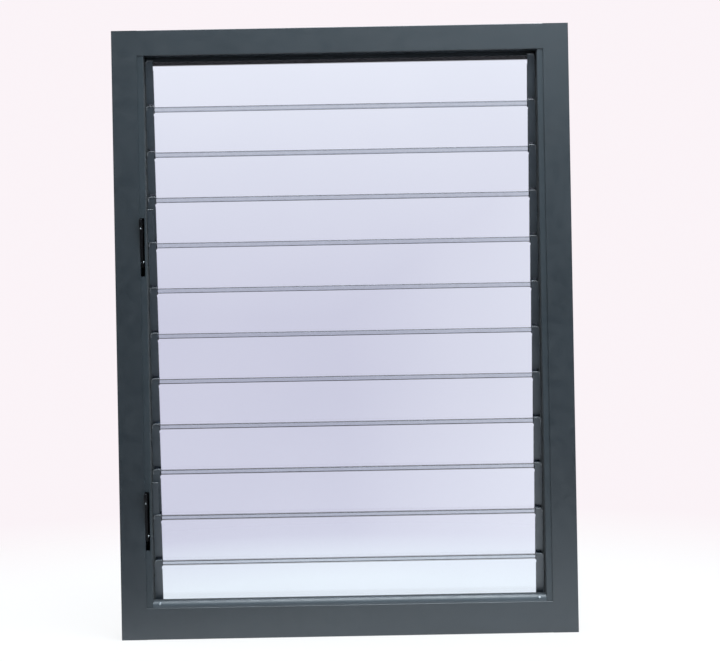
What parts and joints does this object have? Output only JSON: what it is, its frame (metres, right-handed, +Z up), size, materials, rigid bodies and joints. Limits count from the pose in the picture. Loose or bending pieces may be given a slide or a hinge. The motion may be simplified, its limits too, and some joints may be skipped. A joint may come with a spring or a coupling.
{
  "type": "jalousie window",
  "caption": "Framed jalousie window: overlapping clear glass blades in end clips turn together in banks, each bank worked by a small lever in the side gallery.",
  "frame": {"origin": "centre of the sill's underside, on the plane the window stands on", "axes": "+Z up, +X to the right seen from the room, -Y towards the room"},
  "size_m": [0.9, 0.096, 1.2],
  "materials": {
    "frame_paint": "satin",
    "clip_metal": "satin",
    "bush_plastic": "matte",
    "seal_rubber": "matte",
    "clear_glass": "gloss",
    "lever_plastic": "satin",
    "link_metal": "satin"
  },
  "bodies": {
    "frame": {"left_jamb": "frame_paint", "right_jamb": "frame_paint", "head": "frame_paint", "sill": "frame_paint", "left_gallery": "frame_paint", "right_gallery": "frame_paint", "left_bushes": "bush_plastic", "right_bushes": "bush_plastic", "head_stop": "frame_paint", "head_seal": "seal_rubber", "sill_bead": "frame_paint", "sill_seal": "seal_rubber", "left_caps": "bush_plastic", "right_caps": "bush_plastic"},
    "blade_05": {"glass_05": "clear_glass", "clips_05": "clip_metal", "upper_lever": "lever_plastic"},
    "blade_01": {"glass_01": "clear_glass", "clips_01": "clip_metal"},
    "blade_02": {"glass_02": "clear_glass", "clips_02": "clip_metal"},
    "blade_03": {"glass_03": "clear_glass", "clips_03": "clip_metal"},
    "blade_04": {"glass_04": "clear_glass", "clips_04": "clip_metal"},
    "blade_06": {"glass_06": "clear_glass", "clips_06": "clip_metal"},
    "upper_link_bars": {"upper_links": "link_metal"},
    "blade_11": {"glass_11": "clear_glass", "clips_11": "clip_metal", "lower_lever": "lever_plastic"},
    "blade_07": {"glass_07": "clear_glass", "clips_07": "clip_metal"},
    "blade_08": {"glass_08": "clear_glass", "clips_08": "clip_metal"},
    "blade_09": {"glass_09": "clear_glass", "clips_09": "clip_metal"},
    "blade_10": {"glass_10": "clear_glass", "clips_10": "clip_metal"},
    "blade_12": {"glass_12": "clear_glass", "clips_12": "clip_metal"},
    "lower_link_bars": {"lower_links": "link_metal"}
  },
  "joints": [
    {"name": "upper_lever_turn", "type": "hinge", "parent": "frame", "child": "blade_05", "pos_m": [0, -0.012, 0.74373], "axis": [1, 0, 0], "range_deg": [0, 80]},
    {"name": "blade_01_turn", "type": "hinge", "parent": "frame", "child": "blade_01", "pos_m": [0, -0.012, 1.10373], "axis": [1, 0, 0], "range_deg": [0, 80]},
    {"name": "blade_02_turn", "type": "hinge", "parent": "frame", "child": "blade_02", "pos_m": [0, -0.012, 1.01373], "axis": [1, 0, 0], "range_deg": [0, 80]},
    {"name": "blade_03_turn", "type": "hinge", "parent": "frame", "child": "blade_03", "pos_m": [0, -0.012, 0.92373], "axis": [1, 0, 0], "range_deg": [0, 80]},
    {"name": "blade_04_turn", "type": "hinge", "parent": "frame", "child": "blade_04", "pos_m": [0, -0.012, 0.83373], "axis": [1, 0, 0], "range_deg": [0, 80]},
    {"name": "blade_06_turn", "type": "hinge", "parent": "frame", "child": "blade_06", "pos_m": [0, -0.012, 0.65373], "axis": [1, 0, 0], "range_deg": [0, 80]},
    {"name": "upper_links_swing", "type": "hinge", "parent": "blade_05", "child": "upper_link_bars", "pos_m": [0, -0.00128, 0.73473], "axis": [1, 0, 0], "range_deg": [-80, 0]},
    {"name": "lower_lever_turn", "type": "hinge", "parent": "frame", "child": "blade_11", "pos_m": [0, -0.012, 0.20373], "axis": [1, 0, 0], "range_deg": [0, 80]},
    {"name": "blade_07_turn", "type": "hinge", "parent": "frame", "child": "blade_07", "pos_m": [0, -0.012, 0.56373], "axis": [1, 0, 0], "range_deg": [0, 80]},
    {"name": "blade_08_turn", "type": "hinge", "parent": "frame", "child": "blade_08", "pos_m": [0, -0.012, 0.47373], "axis": [1, 0, 0], "range_deg": [0, 80]},
    {"name": "blade_09_turn", "type": "hinge", "parent": "frame", "child": "blade_09", "pos_m": [0, -0.012, 0.38373], "axis": [1, 0, 0], "range_deg": [0, 80]},
    {"name": "blade_10_turn", "type": "hinge", "parent": "frame", "child": "blade_10", "pos_m": [0, -0.012, 0.29373], "axis": [1, 0, 0], "range_deg": [0, 80]},
    {"name": "blade_12_turn", "type": "hinge", "parent": "frame", "child": "blade_12", "pos_m": [0, -0.012, 0.11373], "axis": [1, 0, 0], "range_deg": [0, 80]},
    {"name": "lower_links_swing", "type": "hinge", "parent": "blade_11", "child": "lower_link_bars", "pos_m": [0, -0.00128, 0.19473], "axis": [1, 0, 0], "range_deg": [-80, 0]}
  ],
  "couplings": [
    {"joint": "blade_01_turn", "follows": "upper_lever_turn", "ratio": 1},
    {"joint": "blade_02_turn", "follows": "upper_lever_turn", "ratio": 1},
    {"joint": "blade_03_turn", "follows": "upper_lever_turn", "ratio": 1},
    {"joint": "blade_04_turn", "follows": "upper_lever_turn", "ratio": 1},
    {"joint": "blade_06_turn", "follows": "upper_lever_turn", "ratio": 1},
    {"joint": "upper_links_swing", "follows": "upper_lever_turn", "ratio": -1},
    {"joint": "blade_07_turn", "follows": "lower_lever_turn", "ratio": 1},
    {"joint": "blade_08_turn", "follows": "lower_lever_turn", "ratio": 1},
    {"joint": "blade_09_turn", "follows": "lower_lever_turn", "ratio": 1},
    {"joint": "blade_10_turn", "follows": "lower_lever_turn", "ratio": 1},
    {"joint": "blade_12_turn", "follows": "lower_lever_turn", "ratio": 1},
    {"joint": "lower_links_swing", "follows": "lower_lever_turn", "ratio": -1}
  ]
}
